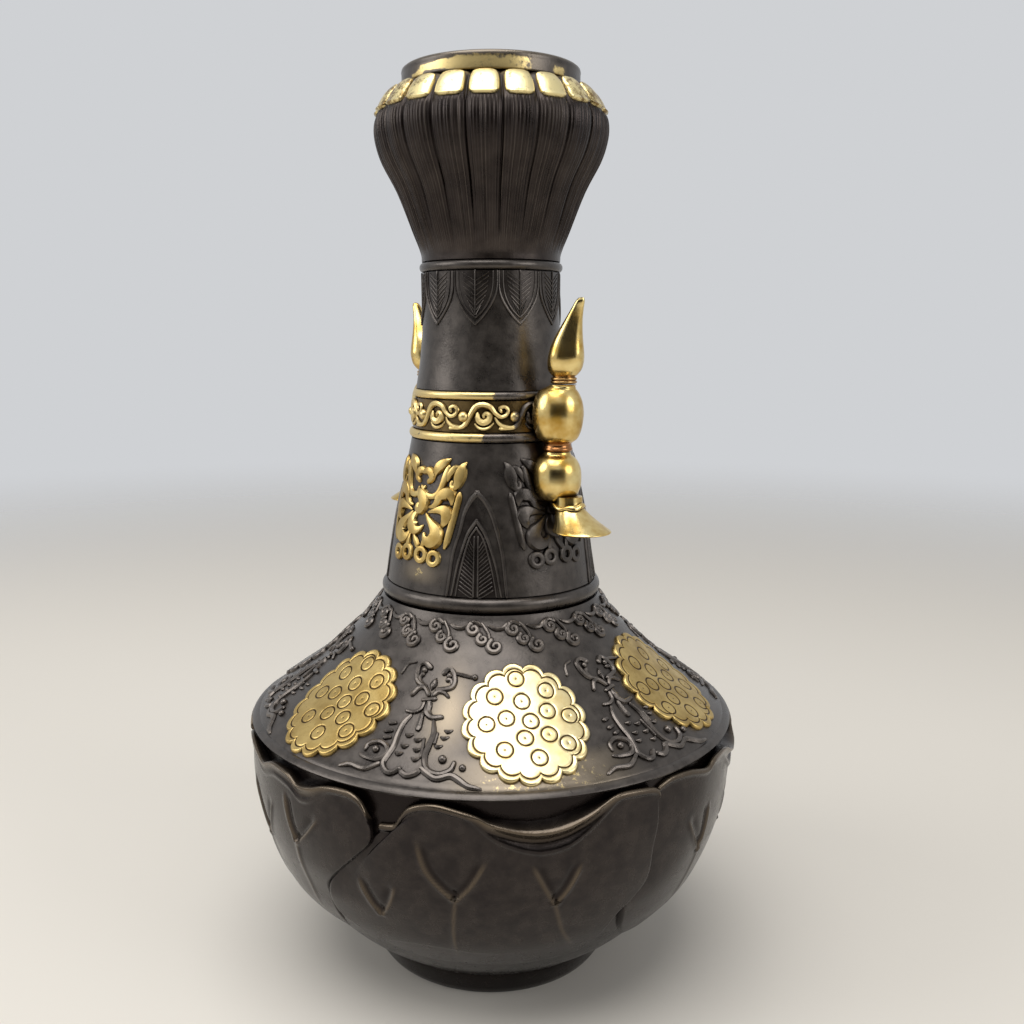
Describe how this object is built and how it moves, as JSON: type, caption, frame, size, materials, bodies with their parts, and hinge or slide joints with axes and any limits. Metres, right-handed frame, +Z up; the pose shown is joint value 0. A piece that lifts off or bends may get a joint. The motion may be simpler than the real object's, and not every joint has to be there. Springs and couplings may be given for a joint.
{
  "type": "two-handled vase",
  "caption": "Free-standing bronze flower vase: lotus-leaf bowl, conical shoulder with gilt medallions, tall neck with beaded handles and a fluted garlic mouth.",
  "frame": {"origin": "on the vase's axis, in the plane of the foot that it stands on", "axes": "+Z up along the vase's axis; the handles stand on +X and -X; the gilt scroll panel faces -Y"},
  "size_m": [0.1692, 0.1692, 0.3],
  "materials": {
    "patinated_bronze": "cast bronze with a dark brown patina, satin",
    "fire_gilding": "bright gilding, polished",
    "worn_gilding": "matte gilding worn thin over bronze"
  },
  "bodies": {
    "root": {"foot_ring": "patinated_bronze", "base_plate": "patinated_bronze", "leaf_bowl": "patinated_bronze", "shoulder": "patinated_bronze", "neck_base_ring": "patinated_bronze", "neck_lower": "patinated_bronze", "neck_upper": "patinated_bronze", "neck_top_ring": "patinated_bronze", "lotus_head": "patinated_bronze", "rim_collar": "patinated_bronze", "scroll_panel_right": "patinated_bronze", "scroll_panel_back": "patinated_bronze", "scroll_panel_left": "patinated_bronze", "scroll_panel_front": "fire_gilding", "scroll_band": "fire_gilding", "petal_crown": "fire_gilding", "lotus_pod_medallion_1": "fire_gilding", "lotus_pod_medallion_2": "fire_gilding", "handle_flame_bud_right": "fire_gilding", "handle_upper_bead_right": "fire_gilding", "handle_lower_bead_right": "fire_gilding", "handle_bell_foot_right": "fire_gilding", "handle_flame_bud_left": "fire_gilding", "handle_upper_bead_left": "fire_gilding", "handle_lower_bead_left": "fire_gilding", "handle_bell_foot_left": "fire_gilding", "band_ring_lower": "worn_gilding", "band_ring_upper": "worn_gilding", "lotus_pod_medallion_3": "worn_gilding", "lotus_pod_medallion_4": "worn_gilding", "lotus_pod_medallion_5": "worn_gilding", "lotus_pod_medallion_6": "worn_gilding"}
  },
  "joints": []
}
